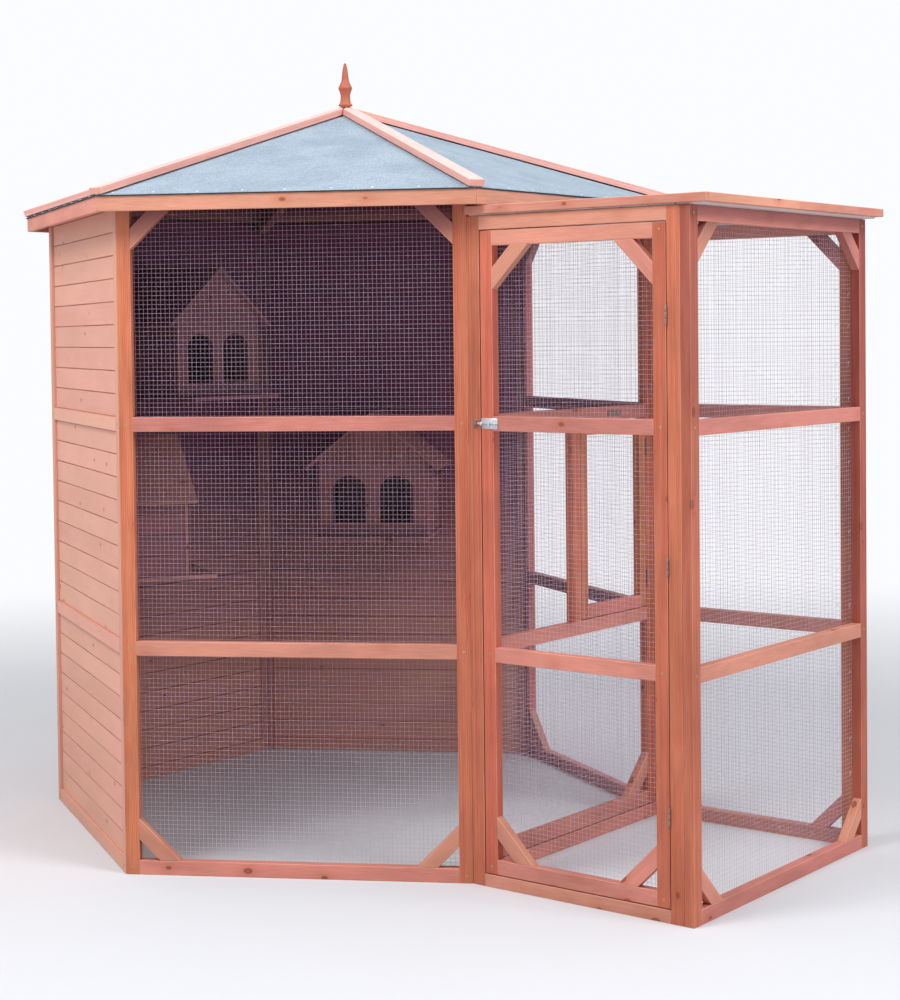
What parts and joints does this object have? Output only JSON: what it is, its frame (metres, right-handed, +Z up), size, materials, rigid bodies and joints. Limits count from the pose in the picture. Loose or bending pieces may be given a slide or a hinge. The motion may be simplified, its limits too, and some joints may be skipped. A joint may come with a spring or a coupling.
{
  "type": "bird aviary",
  "caption": "Hexagonal walk-in timber bird aviary with mesh and boarded walls, a felted roof with a finial, a safety porch with a door, an inner door with a hatch, and nest boxes.",
  "frame": {"origin": "on the ground under the middle of the whole object's box", "axes": "+X to the right of the mesh front, along the longest extent; +Y from the front to the boarded back; +Z up"},
  "size_m": [2.7434, 2.2038, 2.4063],
  "materials": {
    "frame_timber": "reddish-brown stained softwood, sawn, with knots",
    "wall_board": "lighter salmon-brown stained boards",
    "inside_timber": "stained softwood in the roof",
    "hip_timber": "pale weathered battens",
    "nest_timber": "stained thin boards",
    "roofing_felt": "light blue-grey mineral-faced roofing felt",
    "galvanised_mesh": "galvanised welded wire",
    "zinc": "bright zinc-plated steel"
  },
  "bodies": {
    "root": {"front_frame": "frame_timber", "front_braces": "frame_timber", "front_mesh": "galvanised_mesh", "right_back_frame": "frame_timber", "right_back_braces": "frame_timber", "right_back_mesh": "galvanised_mesh", "left_front_frame": "frame_timber", "left_front_boards": "wall_board", "left_back_frame": "frame_timber", "left_back_boards": "wall_board", "back_frame": "frame_timber", "back_boards": "wall_board", "inner_wall_frame": "frame_timber", "porch_front_frame": "frame_timber", "porch_outer_frame": "frame_timber", "porch_outer_braces": "frame_timber", "porch_outer_mesh": "galvanised_mesh", "porch_back_frame": "frame_timber", "porch_back_braces": "frame_timber", "porch_back_mesh": "galvanised_mesh", "porch_roof_deck": "inside_timber", "porch_roof_felt": "roofing_felt", "porch_roof_edging": "frame_timber", "roof_boards": "inside_timber", "roof_felt": "roofing_felt", "hip_battens": "hip_timber", "roof_fascias": "frame_timber", "hip_rafters": "inside_timber", "king_block": "inside_timber", "finial": "hip_timber", "front_door_hinges_fixed": "zinc", "inner_door_hinges_fixed": "zinc", "bolt_keepers": "zinc", "panel_screws": "zinc", "left_front_nest_body": "nest_timber", "left_front_nest_front": "nest_timber", "left_front_nest_roof": "nest_timber", "left_back_nest_body": "nest_timber", "left_back_nest_front": "nest_timber", "left_back_nest_roof": "nest_timber", "back_nest_body": "nest_timber", "back_nest_front": "nest_timber", "back_nest_roof": "nest_timber"},
    "front_door": {"front_door_frame": "frame_timber", "front_door_braces": "frame_timber", "front_door_mesh": "galvanised_mesh", "front_door_hinges_moving": "zinc", "front_door_bolt_guides": "zinc"},
    "front_bolt": {"front_door_bolt": "zinc"},
    "inner_door": {"inner_door_frame": "frame_timber", "inner_door_braces": "frame_timber", "inner_door_mesh": "galvanised_mesh", "inner_door_hinges_moving": "zinc", "inner_door_bolt_guides": "zinc", "hatch_hinges_fixed": "zinc"},
    "inner_bolt": {"inner_door_bolt": "zinc"},
    "hatch": {"hatch_frame": "frame_timber", "hatch_mesh": "galvanised_mesh", "hatch_hinges_moving": "zinc"},
    "hatch_button": {"hatch_button": "zinc"}
  },
  "joints": [
    {"name": "front_door_swing", "type": "hinge", "parent": "root", "child": "front_door", "pos_m": [0.75738, -1.03132, 0.038], "axis": [0, 0, 1], "range_deg": [0, 170]},
    {"name": "front_bolt_slide", "type": "slide", "parent": "front_door", "child": "front_bolt", "axis": [-0.866, 0.5, 0], "range_m": [-0.012, 0.016]},
    {"name": "inner_door_swing", "type": "hinge", "parent": "root", "child": "inner_door", "pos_m": [0.65641, 0.1378, 0.044], "axis": [0, 0, -1], "range_deg": [0, 85]},
    {"name": "inner_bolt_slide", "type": "slide", "parent": "inner_door", "child": "inner_bolt", "axis": [-0.5, -0.866, 0], "range_m": [0, 0.012]},
    {"name": "hatch_swing", "type": "hinge", "parent": "inner_door", "child": "hatch", "pos_m": [0.66609, 0.08256, 0.671], "axis": [0, 0, 1], "range_deg": [0, 95]},
    {"name": "hatch_button_turn", "type": "hinge", "parent": "inner_door", "child": "hatch_button", "pos_m": [0.57232, -0.07346, 1.2845], "axis": [0.866, -0.5, 0], "range_deg": [0, 90]}
  ]
}
